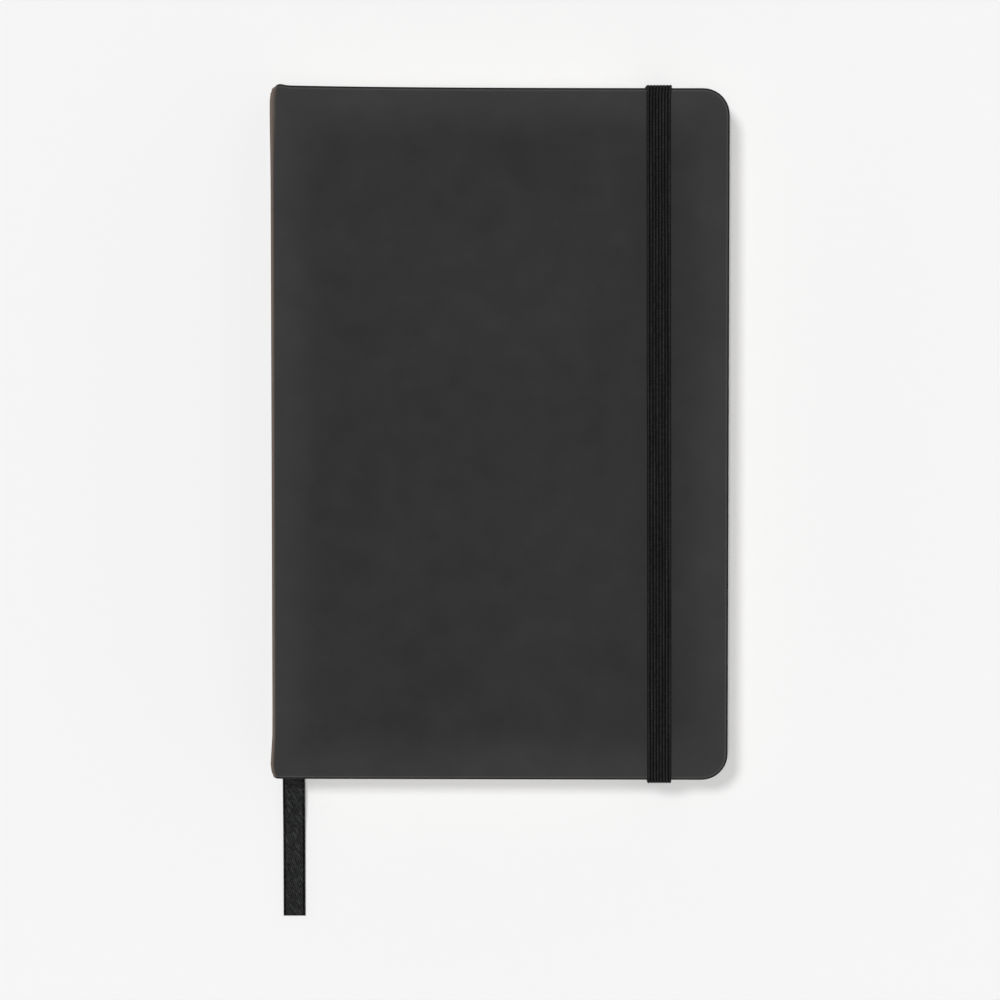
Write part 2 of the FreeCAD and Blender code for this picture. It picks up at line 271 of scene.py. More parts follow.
def span(value: Source, low: float, high: float, to_low: float = 0.0, to_high: float = 1.0) -> Inputs:
    """Inputs of a map that takes one range of a value to another."""
    return {"Value": value, "From Min": low, "From Max": high, "To Min": to_low, "To Max": to_high}


@dataclass(frozen=True)
class Finish:
    """A material with one main colour, its roughness and how strongly it reflects."""

    name: str
    colour: str
    rough: float
    gloss: float = 0.5

    def start(self) -> tuple[Material, NodeTree, NodeSocket]:
        """Begin the material with its shader.

        Returns:
            The material, its node tree and its object coordinates.
        """
        material = bpy.data.materials.new(self.name)
        material.use_nodes = True
        tree = material.node_tree
        feed(tree, tree.nodes["Principled BSDF"], {
            "Base Color": linear(self.colour), "Roughness": self.rough, "Specular IOR Level": self.gloss})
        return material, tree, add(tree, "TexCoord").outputs["Object"]

    @staticmethod
    def surface(tree: NodeTree, height: Source, strength: float, depth_mm: float,
                looks: Inputs | None = None, factor: Source | None = None,
                stops: tuple[tuple[float, str], ...] = ()) -> None:
        """Give the shader its relief, and a colour that follows a factor.

        Args:
            tree: The material's node tree.
            height: Height of the relief, from 0 to 1.
            strength: How much of the relief shows.
            depth_mm: Depth of the relief.
            looks: Other inputs of the shader.
            factor: What the colour follows, or None.
            stops: The factor's values at its two colours, and those colours.
        """
        shader = tree.nodes["Principled BSDF"]
        bump = {"Height": height, "Strength": strength, "Distance": depth_mm * MM}
        feed(tree, shader, {"Normal": add(tree, "Bump", inputs=bump), **(looks or {})})
        if factor is not None:
            ramp = add(tree, "ValToRGB", inputs={"Fac": factor})
            for element, (place, code) in zip(ramp.color_ramp.elements, stops):
                element.position = place
                element.color = linear(code)
            feed(tree, shader, {"Base Color": ramp})

    def make(self) -> Material:
        """Make the finished material."""
        raise NotImplementedError


@dataclass(frozen=True)
class SoftTouchSkin(Finish):
    """Soft-touch polyurethane film on paper.

    It gives the eye a dark matt face.  Painted sheen makes it paler towards its edges, a painted highlight
    runs along the crests of its edges, painted shade darkens their walls, and a painted highlight with a
    brownish tint runs along the spine's edge.  A fine grain, drawn coarser than the real 0.1 mm so that it
    shows, breaks its sheen.
    """

    # painted sheen: the pale grey that lightens the film towards its edges, also used for its random low
    # cloud
    sheen_and_mottle: str = "#313030"
    # colour of the painted highlight along the crests of the edges
    crest: str = "#4a4745"
    # colour of the painted highlight, with a brownish tint, along the spine's edge
    spine_highlight_tint: str = "#6a5c54"
    # colour of the painted shade on the walls of the edges
    wall: str = "#090909"
    grain_mm: float = 0.45
    cloud_mm: float = 42.0
    # size of the noise that breaks up the painted highlights
    highlight_noise_mm: float = 2.2
    rub_mm: float = 9.0
    # reach of the painted sheen in from the edge
    sheen_mm: float = 19.0
    crest_mm: float = 1.2

    def tone(self, tree: NodeTree, place: NodeSocket) -> Source:
        """Colour of the film, from the flat map, where four layers go over the main colour.

        Painted sheen, a pale grey, falls smoothly to 0 at its reach in from the edge, plus a random low
        cloud.  A painted highlight is a line just inside the edge, broken up by noise; painted shade covers
        the wall, all that lies beyond it; and a painted highlight with a brownish tint along the spine's
        edge is the closeness to that edge times the noise.

        Args:
            tree: The material's node tree.
            place: Object coordinates.

        Returns:
            The colour.
        """
        flat = add(tree, "SeparateXYZ", inputs={"Vector": add(tree, "UVMap", {"uv_map": "flat"})})
        inward = flat.outputs["X"]
        cloud = add(tree, "TexNoise", inputs=speckle(place, per_metre(self.cloud_mm), 4.0, 0.6))
        highlight_noise = add(tree, "TexNoise", inputs=speckle(place, per_metre(self.highlight_noise_mm), 5.0, 0.75))
        # painted sheen: paler towards the edges, plus a random low cloud
        edge = add(tree, "MapRange", {"interpolation_type": "SMOOTHERSTEP"},
                   span(inward, 0.0, self.sheen_mm, 0.62, 0.0))
        drift = add(tree, "MapRange", inputs=span(cloud, 0.3, 0.7, 0.0, 0.3))
        sheen_and_mottle = add(tree, "Math", {"operation": "ADD", "use_clamp": True}, {0: edge, 1: drift})
        # painted highlight: a line just inside the edge, broken up by noise
        line = add(tree, "MapRange", EASED, span(inward, self.crest_mm, self.crest_mm / 2, 0.0, 1.5))
        below = add(tree, "MapRange", EASED, span(inward, 0.52, 0.7))
        crest = add(tree, "Math", TIMES, {0: line, 1: below})
        crest_highlight = add(tree, "Math", TIMES_HELD, {0: crest, 1: highlight_noise})
        # painted shade: all that lies beyond the crest, on the edges' walls
        turned = add(tree, "MapRange", EASED, span(inward, 0.6, 0.32))
        # painted highlight with a brownish tint along the spine's edge, made patchy by noise
        patchy = add(tree, "MapRange", inputs=span(highlight_noise, 0.0, 1.0, 0.6, 1.3))
        spine_highlight = add(tree, "Math", TIMES_HELD, {0: flat.outputs["Y"], 1: patchy})
        colour = linear(self.colour)
        for factor, layer in ((sheen_and_mottle, self.sheen_and_mottle), (crest_highlight, self.crest), (turned, self.wall),
                              (spine_highlight, self.spine_highlight_tint)):
            colour = add(tree, "Mix", {"data_type": "RGBA"}, {0: factor, 6: colour, 7: linear(layer)})
        return colour

    def make(self) -> Material:
        """Make the finished material.

        Returns:
            The film.
        """
        material, tree, place = self.start()
        rub = add(tree, "TexNoise", inputs=speckle(place, per_metre(self.rub_mm), 5.0))
        rough = add(tree, "MapRange", inputs=span(rub, 0.3, 0.7, self.rough - 0.03, self.rough + 0.04))
        grain = add(tree, "TexVoronoi", inputs={"Vector": place, "Scale": per_metre(self.grain_mm)})
        fibre = add(tree, "TexNoise", inputs=speckle(place, per_metre(self.grain_mm * 3.0), 4.0))
        height = add(tree, "Math", {"operation": "ADD"}, {0: grain, 1: fibre})
        self.surface(tree, height, 0.3, 0.05, {"Base Color": self.tone(tree, place), "Roughness": rough,
                                               "Sheen Weight": 0.06, "Sheen Roughness": 0.45})
        return material


@dataclass(frozen=True)
class Paper(Finish):
    """Uncoated drawing paper or endpaper, with a felt-side tooth.

    It gives the eye a warm matt white that drifts a little over its formation clouds.  A mapped
    paper follows each sheet's own map in millimetres, so that sheets differ and nothing slides
    when they turn.  The tooth is drawn coarser than the real 0.2 mm so that it shows.
    """

    deep: str = "#eee8da"
    cloud_mm: float = 60.0
    tooth_mm: float = 0.7
    mapped: bool = False

    def make(self) -> Material:
        """Make the finished material.

        Returns:
            The paper.
        """
        material, tree, place = self.start()
        unit = MM
        if self.mapped:
            place, unit = add(tree, "UVMap", {"uv_map": "flat"}), 1.0
        cloud = add(tree, "TexNoise", inputs=speckle(place, 1.0 / (self.cloud_mm * unit), 2.0))
        tooth = add(tree, "TexNoise", inputs=speckle(place, 1.0 / (self.tooth_mm * unit), 5.0, 0.65))
        self.surface(tree, tooth, 0.35, 0.04, None, cloud, ((0.3, self.deep), (0.65, self.colour)))
        return material


@dataclass(frozen=True)
class Pulpboard(Finish):
    """Grey board or spine card: it gives the eye pressed waste paper, speckled with fibre."""

    speck: str = "#8b857a"
    speck_mm: float = 0.6

    def make(self) -> Material:
        """Make the finished material.

        Returns:
            The board.
        """
        material, tree, place = self.start()
        specks = add(tree, "TexNoise", inputs=speckle(place, per_metre(self.speck_mm), 5.0, 0.7))
        self.surface(tree, specks, 0.4, 0.05, None, specks, ((0.38, self.speck), (0.6, self.colour)))
        return material


class Weave(Enum):
    """How the threads of a narrow fabric cross: the turn of the pattern and its stretch across."""

    PLAIN = (0.0, 1.0)
    TWILL = (27.0, 1.0)
    WRAPPED = (18.0, 0.45)


@dataclass(frozen=True)
class NarrowFabric(Finish):
    """Woven silk, as on a headband: painted highlight makes the thread tops paler, and painted shade
    darkens the gaps between them.
    """

    weave: Weave = Weave.PLAIN
    thread_mm: float = 0.4
    # colour of the painted highlight on the thread tops
    shine: str = "#4a4a4c"
    sheen: float = 0.2
    relief: float = 0.5
    fray_mm: float = 1.1

    def threads(self, tree: NodeTree, flat: Source) -> Source:
        """Height of the threads: a sine across times a sine along, turned for a twill.

        Args:
            tree: The material's node tree.
            flat: The map's coordinates.

        Returns:
            A value from 0, between threads, to 1, on a thread.
        """
        degrees, across = self.weave.value
        pitch = 2.0 * math.pi / self.thread_mm
        turned = add(tree, "Mapping", inputs={"Vector": flat, "Rotation": (0.0, 0.0, math.radians(degrees)),
                                              "Scale": (pitch * across, pitch, 1.0)})
        parts = add(tree, "SeparateXYZ", inputs={"Vector": turned})
        waves = [add(tree, "Math", SINE, {0: parts.outputs[axis]}) for axis in ("X", "Y")]
        product = add(tree, "Math", TIMES, {0: waves[0], 1: waves[1]})
        return add(tree, "Math", TIMES_PLUS, {0: product, 1: 0.5, 2: 0.5})

    def tone(self, tree: NodeTree, place: Source, flat: Source, height: Source) -> Source:
        """Paleness of the fabric from the threads' height: painted highlight on the tops and painted shade
        in the gaps, broken by fray.

        Args:
            tree: The material's node tree.
            place: Object coordinates.
            flat: The map's coordinates.
            height: The threads' height.

        Returns:
            A value from 0, dark, to 1, pale.
        """
        fray = add(tree, "TexNoise", inputs=speckle(place, per_metre(self.fray_mm), 5.0, 0.7))
        # painted highlight on the thread tops and painted shade in the gaps between them
        raised = add(tree, "Math", TIMES_PLUS, {0: height, 1: 0.6, 2: 0.4})
        return add(tree, "Math", TIMES, {0: raised, 1: fray})

    def make(self) -> Material:
        """Make the finished material.

        Returns:
            The fabric.
        """
        material, tree, place = self.start()
        flat = add(tree, "UVMap", {"uv_map": "flat"})
        height = self.threads(tree, flat)
        self.surface(tree, height, self.relief, 0.08, {"Sheen Weight": self.sheen, "Sheen Roughness": 0.4},
                     self.tone(tree, place, flat, height), ((0.14, self.colour), (0.75, self.shine)))
        return material


@dataclass(frozen=True)
class BraidedElastic(NarrowFabric):
    """Covered rubber cords side by side: painted highlight makes their tops pale and painted shade makes
    the grooves near-black.
    """

    cord_mm: float = 0.917

    def tone(self, tree: NodeTree, place: Source, flat: Source, height: Source) -> Source:
        """The fabric's painted thread highlight and shade, times painted shade in the grooves: the size of
        a sine over each cord's width.

        Args:
            tree: The material's node tree.
            place: Object coordinates.
            flat: The map's coordinates.
            height: The threads' height.

        Returns:
            A value from 0, dark, to 1, pale.
        """
        woven = super().tone(tree, place, flat, height)
        # painted shade in the grooves between the cords
        across = add(tree, "SeparateXYZ", inputs={"Vector": flat})
        turn = add(tree, "Math", TIMES, {0: across, 1: math.pi / self.cord_mm})
        top = add(tree, "Math", SIZE_OF, {0: add(tree, "Math", SINE, {0: turn})})
        lit = add(tree, "MapRange", EASED, span(top, 0.25, 0.85))
        strand = add(tree, "Mapping", inputs={"Vector": flat, "Scale": (1.0 / self.cord_mm, 0.035, 1.0)})
        uneven = add(tree, "TexNoise", inputs=speckle(strand, 1.3, 2.0))
        level = add(tree, "MapRange", inputs=span(uneven, 0.3, 0.7, 0.95, 1.75))
        return add(tree, "Math", TIMES, {0: woven, 1: add(tree, "Math", TIMES, {0: lit, 1: level})})


@dataclass(frozen=True)
class SatinRibbon(NarrowFabric):
    """Twill satin, which gives the eye dark selvedge lines and painted highlights: slanting glints where it
    is creased.
    """

    width_mm: float = 6.8
    line_mm: float = 0.55
    glint_streak_mm: tuple[float, float, float] = (3.4, 0.6, 1.0)

    def tone(self, tree: NodeTree, place: Source, flat: Source, height: Source) -> Source:
        """The fabric's painted thread highlight and shade, less a line inside each selvedge, plus stretched
        slanting noise that paints glints.

        Args:
            tree: The material's node tree.
            place: Object coordinates.
            flat: The map's coordinates.
            height: The threads' height.

        Returns:
            A value from 0, dark, to 1, pale.
        """
        woven = super().tone(tree, place, flat, height)
        side = add(tree, "Math", SIZE_OF, {0: add(tree, "SeparateXYZ", inputs={"Vector": flat})})
        line = add(tree, "Math", {"operation": "COMPARE"}, {0: side, 1: self.width_mm / 2 - self.line_mm,
                                                            2: 0.17})
        keep = add(tree, "Math", TIMES_PLUS, {0: line, 1: -0.75, 2: 1.0})
        # painted highlight: slanting glints from stretched noise
        slant = add(tree, "Mapping", {"vector_type": "TEXTURE"},
                    {"Vector": flat, "Rotation": (0.0, 0.0, math.radians(58.0)), "Scale": self.glint_streak_mm})
        crease = add(tree, "TexNoise", inputs=speckle(slant, 1.0, 3.0, 0.6))
        glint = add(tree, "MapRange", EASED, span(crease, 0.55, 0.7, 0.0, 1.7))
        bright = add(tree, "Math", TIMES_PLUS, {0: glint, 1: height, 2: woven})
        return add(tree, "Math", TIMES, {0: bright, 1: keep})


@dataclass(frozen=True)
class Gauze(Finish):
    """Mull or linen thread, which gives the eye undyed cotton in a square open weave."""

    shade: str = "#a79f8b"
    thread_mm: float = 0.9

    def make(self) -> Material:
        """Make the finished material.

        Returns:
            The cloth.
        """
        material, tree, place = self.start()
        waves = [add(tree, "TexWave", {"wave_type": "BANDS", "bands_direction": axis},
                     {"Vector": place, "Scale": per_metre(self.thread_mm) / 3.0, "Distortion": 0.4})
                 for axis in ("Y", "Z")]
        height = add(tree, "Math", {"operation": "MAXIMUM"},
                     {0: waves[0].outputs["Fac"], 1: waves[1].outputs["Fac"]})
        self.surface(tree, height, 0.6, 0.1, None, height, ((0.0, self.shade), (1.0, self.colour)))
        return material


@dataclass(frozen=True)
class SweepPaper(Finish):
    """Seamless background paper: it gives the eye an even, pale and matt ground."""

    def make(self) -> Material:
        """Make the finished material.

        Returns:
            The paper.
        """
        material, tree, place = self.start()
        tooth = add(tree, "TexNoise", inputs=speckle(place, per_metre(1.5), 3.0))
        self.surface(tree, tooth, 0.05, 0.02)
        return material


@dataclass
class Finishes:
    """Every finish of the book, made once, each named for its real material."""

    skin: Material = field(init=False)
    leaves: Material = field(init=False)
    endpaper: Material = field(init=False)
    board: Material = field(init=False)
    elastic: Material = field(init=False)
    ribbon: Material = field(init=False)
    band: Material = field(init=False)
    gauze: Material = field(init=False)
    thread: Material = field(init=False)

    def __post_init__(self) -> None:
        """Make the materials."""
        # A dark matt case, with painted sheen, painted highlights and painted shade at its edges.
        self.skin = SoftTouchSkin("soft_touch_film", "#202020", 0.8, 0.3).make()
        # Warm white leaves, and endpapers a little creamier than they are.
        self.leaves = Paper("cartridge_paper", "#f4efe4", 0.86, 0.25, mapped=True).make()
        self.endpaper = Paper("endpaper", "#efe8d8", 0.84, 0.25).make()
        # Speckled grey boards, which show only where nothing covers them.
        self.board = Pulpboard("pulpboard", "#a8a194", 0.9, 0.2).make()
        # A near-black band of fine cords, a glinting ribbon, and the shinier silk of the headbands.
        self.elastic = BraidedElastic("braided_elastic", "#020202", 0.9, 0.12, Weave.WRAPPED, 0.62,
                                      "#2c2c2c", 0.03, 0.6).make()
        self.ribbon = SatinRibbon("satin_ribbon", "#020202", 0.85, 0.06, Weave.TWILL, 0.8,
                                  "#3d3e3e", 0.02, 0.7).make()
        self.band = NarrowFabric("silk_headband", "#121212", 0.5, 0.4, Weave.PLAIN, 0.5,
                                 "#3a3a3a", 0.2, 0.5).make()
        # Undyed cotton lining and paler, finer sewing thread.
        self.gauze = Gauze("cotton_mull", "#d9d1bd", 0.9, 0.2).make()
        self.thread = Gauze("linen_thread", "#e3dcc9", 0.8, 0.25, thread_mm=0.3).make()


# ---------------------------------------------------------------- the case


class Side(Enum):
    """Which cover of the book a skin belongs to."""

    FRONT = "front"
    BACK = "back"


@dataclass
class CaseSkin:
    """The skin of one cover, from a seam on the spine, round the spine edge, to the fore-edge.

    The skin is first a sheet over (row, column).  Rows run along a line in the upright plane: up
    the spine face, round a quarter circle and over the board.  Columns run from tail to head.
    Every border then goes round the board's edge and is turned in over its inner face.
    """

    side: Side
    seam_z: float = 3.0 * MM
    bend: float = 1.5 * MM
    corner: float = 8.0 * MM
    skin: float = 0.4 * MM
    board_edge: float = 0.65 * MM
    spine_edge: float = 1.3 * MM
    board_thick: float = 2.45 * MM
    spine_thick: float = 1.5 * MM
    turned_in: float = 5.5 * MM
    flare: float = 1.0 * MM
    ear: float = 0.38 * MM
    ear_width: float = 1.5 * MM
    corner_round: float = 0.5 * MM
    end_round: float = 0.7 * MM
    askew: float = 0.35 * MM
    heel: float = 0.6 * MM
    channel_depth: float = 0.94 * MM
    crest_width: float = 0.6 * MM
    slot_inset: float = 15.5 * MM
    flare_length: float = 39.0 * MM
    round_length: float = 2.4 * MM
    # reach from the head over which the painted highlight along the spine's edge widens
    wide_highlight: float = 26.0 * MM

    def __post_init__(self) -> None:
        """Read the places from the frame."""
        self.fore_x, self.half, _ = corner_of(self.side.value + "_cover_wrap")[1]
        self.spine_x = corner_of("spine_wrap")[0][0]
        self.top = corner_of("front_cover_wrap")[1][2]
        self.strap = corner_of("elastic_leg_head")
        self.slot = corner_of("elastic_anchor_head")[0][1] + self.slot_inset

    def rows(self) -> dict[str, Array]:
        """The line that the sheet's rows follow, for the front cover.

        Returns:
            Arrays over the rows: x and z, the direction along the line (ax, az), the outward
            normal (nx, nz), the half height, the edge radius, the thickness with the board and the
            outward direction on the sheet of its border (along, across).
        """
        seam = self.seam_z if self.side is Side.FRONT else self.top - self.seam_z
        up = np.linspace(seam, self.top - self.bend, 7)[:-1]
        turn = np.linspace(0.0, math.pi / 2, 10)
        strap_x = np.array([self.strap[0][0], self.strap[1][0]])
        edges = np.concatenate([strap_x - 0.1 * MM, strap_x + 0.15 * MM])
        flat = self.spine_x + self.bend + np.array([0.6, 1.3, 2.2, 3.3, 4.6, 6.2, 8.5, 12.0, 18.0]) * MM
        flat = np.concatenate([flat, np.linspace(flat[-1] + 8 * MM, self.fore_x - self.corner, 12)])
        if self.side is Side.BACK:
            flat = np.sort(np.concatenate([flat, edges]))
        round_ = np.linspace(0.0, math.pi / 2, 11)[1:]
        reach = self.corner - self.board_edge
        x = np.concatenate([np.full(len(up), self.spine_x),
                            self.spine_x + self.bend * (1 - np.cos(turn)), flat,
                            self.fore_x - self.corner + reach * np.sin(round_)])
        z = np.concatenate([up, self.top - self.bend + self.bend * np.sin(turn),
                            np.full(len(flat) + len(round_), self.top)])
        lean = np.concatenate([np.zeros(len(up)), turn, np.full(len(flat) + len(round_), math.pi / 2)])
        on_board = smooth((x - self.spine_x - 0.3 * self.bend) / (1.6 * self.bend))
        radius = self.spine_edge + (self.board_edge - self.spine_edge) * on_board
        thick = self.spine_thick + (self.board_thick - self.spine_thick) * smooth(
            (x - self.spine_x - self.bend) / (0.6 * MM))
        swing = np.concatenate([np.zeros(len(x) - len(round_)), round_])
        half = np.where(swing > 0, self.half - self.corner + reach * np.cos(swing), self.half - radius)
        return {"x": x, "z": z, "ax": np.sin(lean), "az": np.cos(lean), "nx": -np.cos(lean),
                "nz": np.sin(lean), "half": half, "radius": radius, "thick": thick,
                "along": np.sin(swing), "across": np.cos(swing)}

    def columns(self) -> Array:
        """Places of the columns, close together at both ends and round the elastic's slots.

        Returns:
            Numbers from -1, the tail, to 1, the head.
        """
        even = np.sin(np.linspace(-math.pi / 2, math.pi / 2, 27))
        if self.side is Side.BACK:
            near = np.array([self.slot - 0.1 * MM, self.slot + 0.15 * MM]) / (self.half - self.board_edge)
            even = np.concatenate([even, near, -near])
        return np.sort(even)

    def channel(self, x: Array, y: Array) -> Array:
        """Depth of the two pressed channels that hold the elastic under the back cover.

        The depth is full between the strap's sides and beyond the slot, and zero elsewhere.

        Args:
            x: The sheet's x.
            y: The sheet's y.

        Returns:
            The depth.
        """
        if self.side is Side.FRONT:
            return np.zeros(np.broadcast(x, y).shape)
        inside = (x > self.strap[0][0] - 0.05 * MM) & (x < self.strap[1][0] + 0.05 * MM)
        return self.channel_depth * (inside & (np.abs(y) > self.slot))

    def head_rise(self, x: Array) -> Array:
        """How far the head edge stands out near the spine.

        A curve that falls off along the edge, plus a small round ear, less the rounding of the
        corner itself.

        Args:
            x: The sheet's x.

        Returns:
            The distance.
        """
        off = x - self.spine_x
        ear = self.ear * np.exp(-((off - 2 * self.ear_width) / self.ear_width) ** 2)
        rounding = self.corner_round * (1.0 - smooth(off / self.round_length))
        return self.flare * np.exp(-off / self.flare_length) + ear - rounding

    def edge_map(self, x: Array, y: Array, line: dict[str, Array]) -> Array:
        """Map of the sheet: millimetres in from the case's edge, and closeness to the spine's edge.

        The distance is the smallest of those to the spine's bend, the two ends and the fore-edge,
        measured to a circle in the rounded corners.  The closeness, the mask of a painted highlight
        along the spine's edge, is a smooth step of the distance to the bend, over a reach that is longer
        near the head.

        Args:
            x: The sheet's x, before its edges are moved.
            y: The sheet's y, before its edges are moved.
            line: The rows' arrays.

        Returns:
            Array (rows, columns, 2).
        """
        head = smooth((y - self.half + self.wide_highlight) / (20 * MM))
        y = np.abs(y)
        dx = x - (self.fore_x - self.corner)
        dy = y - (self.half - self.corner)
        round_ = self.corner - np.hypot(np.maximum(dx, 0.0), np.maximum(dy, 0.0))
        edge = np.where((dx > 0) & (dy > 0), round_, np.minimum(self.fore_x - x, self.half - y))
        run = run_of(np.stack([line["x"], line["z"]], -1))
        bend = np.interp(self.spine_x + 0.3 * self.bend, line["x"][6:], run[6:])
        from_bend = np.abs(run - bend)[:, None]
        # the painted highlight along the spine's edge fades out over this reach
        reach = np.where(run < bend, 1.3 * MM, 0.9 * MM)[:, None] * (1.0 + head)
        near_spine_highlight = 1.0 - smooth(from_bend / reach)
        return np.stack([np.minimum(edge, from_bend + self.crest_width) / MM, near_spine_highlight], -1)

    def spine_swell(self, x: Array, y: Array) -> Array:
        """How far the spine edge stands out at the tail and, less, at the head.

        Two bell curves along the edge, less a step that draws in the last millimetres of each end.

        Args:
            x: The sheet's x.
            y: The sheet's y.

        Returns:
            The distance.
        """
        near = 1.0 - smooth((x - self.spine_x) / (5 * MM))
        tail = self.heel * np.exp(-((y + self.half - 4 * MM) / (6 * MM)) ** 2)
        head = 0.35 * self.heel * np.exp(-((y - self.half + 8 * MM) / (12 * MM)) ** 2)
        drawn = self.end_round * smooth((np.abs(y) - self.half + 3.0 * MM) / self.round_length)
        return near * (tail + head - drawn)

    def border_profile(self, radius: Array, thick: Array) -> tuple[Array, Array]:
        """The way round a board's edge, from the outer sheet's border to the inner sheet's.

        A quarter circle, a wall, a smaller quarter circle, the turned-in flange, and back under
        the flange and up behind the wall.

        Args:
            radius: Outer edge radius at each border point.
            thick: Thickness of the covered board there.

        Returns:
            Two arrays (border points, profile points): outward offset and depth.
        """
        r = radius[:, None]
        t = thick[:, None]
        first = np.linspace(0.0, math.pi / 2, 6)
        second = np.linspace(0.0, math.pi / 2, 5)
        small = 0.35 * MM
        one = np.ones((len(radius), 1))
        out = [r * np.sin(first), r - small + small * np.cos(second)]
        deep = [r * (1 - np.cos(first)), t - small + small * np.sin(second)]
        for offset, depth in ((-1.2 * MM, t), (-3.0 * MM, t), (-self.turned_in, t),
                              (-self.turned_in, t - 0.2 * MM)):
            out.append(offset * one)
            deep.append(depth)
        for depth in (t - 0.25 * MM, self.skin * one):
            out.append(r - self.skin)
            deep.append(depth)
        out.append(0.0 * one)
        deep.append(self.skin * one)
        return np.concatenate(out, 1), np.concatenate(deep, 1)

    def patches(self) -> list[Patch]:
        """Make the outer sheet, the border and the inner sheet.

        Returns:
            Three patches that share their borders.
        """
        line = self.rows()
        v = self.columns()
        x = np.repeat(line["x"][:, None], len(v), 1)
        y = v[None, :] * line["half"][:, None]
        z = np.repeat(line["z"][:, None], len(v), 1)
        normal = np.stack([line["nx"], np.zeros_like(line["nx"]), line["nz"]], -1)
        ahead = np.stack([line["ax"], np.zeros_like(line["ax"]), line["az"]], -1)
        dent = self.channel(x, y)
        swell = self.spine_swell(x, y)
        near = self.edge_map(x, y, line)
        toward_fore = (x - self.spine_x) / (self.fore_x - self.spine_x)
        y = y + self.head_rise(x) * smooth((v[None, :] - 0.8) / 0.2)
        if self.side is Side.FRONT:
            y = y - self.askew * toward_fore * smooth((-v[None, :] - 0.6) / 0.4)
        sheet = np.stack([x - swell, y, z], -1) - dent[..., None] * normal[:, None, :]
        last = len(line["x"]) - 1
        rows = np.concatenate([np.arange(last), np.full(len(v), last), np.arange(last)[::-1]])
        cols = np.concatenate([np.zeros(last, int), np.arange(len(v)), np.full(last, len(v) - 1)])
        way = np.concatenate([-np.ones(last), np.zeros(len(v)), np.ones(last)])
        ends = np.isin(np.arange(len(rows)), (last, last + len(v) - 1))
        along = line["along"][rows]
        across = np.where(ends, 0.0, way * line["across"][rows])
        outward = along[:, None] * ahead[rows] + across[:, None] * np.array([0.0, 1.0, 0.0])
        edge = sheet[rows, cols]
        radius, thick = line["radius"][rows], line["thick"][rows]
        out, deep = self.border_profile(radius, thick)
        deep = deep * (1.0 - dent[rows, cols] / thick)[:, None]
        round_ = (along > 0.02) & (along < 0.98)
        pleat = np.abs(np.sin(9.0 * np.arctan2(np.abs(across), along + 1e-9))) * round_
        flange = (out < -0.5 * MM) & (deep > 1.5 * MM)
        deep = deep - 0.12 * MM * pleat[:, None] * flange
        border = (edge[:, None, :] + out[..., None] * outward[:, None, :]
                  - deep[..., None] * normal[rows][:, None, :])
        inner = sheet - self.skin * normal[:, None, :]
        # the border's map runs on round the edge, so that the painted shade and the painted highlights
        # follow it
        rim = np.stack([(radius[:, None] - out - deep) / MM,
                        near[rows, cols, 1][:, None] + 0.0 * out], -1)
        grids = [(sheet, near, False), (border, rim, False), (inner, near, True)]
        if self.side is Side.BACK:
            for points, _, _ in grids:
                points[..., 2] = self.top - points[..., 2]
        return [Patch.grid(points, flat, turned=turned) for points, flat, turned in grids]

    def make(self, finish: Material) -> Object:
        """Make the skin and let it stand for the CAD skin.

        Args:
            finish: The film's material.

        Returns:
            The object.
        """
        obj = build(self.side.value + "_case_skin", self.patches(), seal=True)
        obj.data.materials.append(finish)
        hinge = self.bend * 0.25
        outer = np.array([self.spine_x, 0.0, self.top])
        start = outer + np.array([hinge, 0.0, -self.bend - hinge])
        end = outer + np.array([self.bend + hinge, 0.0, -hinge])
        if self.side is Side.FRONT:
            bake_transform(obj)
            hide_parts("front_cover_wrap", "front_hinge_skin", "spine_wrap")
        else:
            start[2], end[2] = self.top - start[2], self.top - end[2]
            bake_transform(obj)
            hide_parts("back_cover_wrap", "back_hinge_skin")
        return obj


# ---------------------------------------------------------------- the text block


def corner_drop(x: Array, fore: float, radius: float) -> Array:
    """How far a leaf's edge falls short of its full half height along a rounded corner.

    The drop is the radius less a root: of the radius squared less the way into the corner squared.

    Args:
        x: Places along the leaf.
        fore: The x of its fore-edge.
        radius: The corner's radius.

    Returns:
        The drop at each place.
    """
    return radius - np.sqrt(np.maximum(radius ** 2 - np.maximum(x - fore + radius, 0) ** 2, 0))


def thin_sheet(faces: tuple[Array, Array], reach: Array, steps: int,
               run: Array | None = None, own: float = 0.0) -> list[Patch]:
    """A closed thin sheet: a ring round two lines, carried from tail to head, and its ends.

    Args:
        faces: Points (n, 2) in x and z of the line of each face.
        reach: Half the sheet's height at each point.
        steps: How many rows there are from tail to head.
        run: The map's coordinate along the line, or None for no map.
        own: Where the sheet's own part of the map starts.

    Returns:
        The shell and its two ends.
    """
    ring = np.concatenate([faces[0], faces[1][::-1]])
    points = np.empty((steps, len(ring), 3))
    points[..., 0] = ring[:, 0]
    points[..., 1] = np.linspace(-1.0, 1.0, steps)[:, None] * np.concatenate([reach, reach[::-1]])
    points[..., 2] = ring[:, 1]
    flat = np.zeros((steps, len(ring), 2))
    if run is not None:
        flat = pair(np.concatenate([run, run[::-1]]), points[..., 1] / MM + own)
    patches = [Patch.grid(points, flat, ring=True)]
    count = len(reach)
    for row in (0, -1):
        ends = [np.stack([grid[row, :count], grid[row, count:][::-1]], 0) for grid in (points, flat)]
        patches.append(Patch.grid(*ends, turned=row == 0))
    return patches


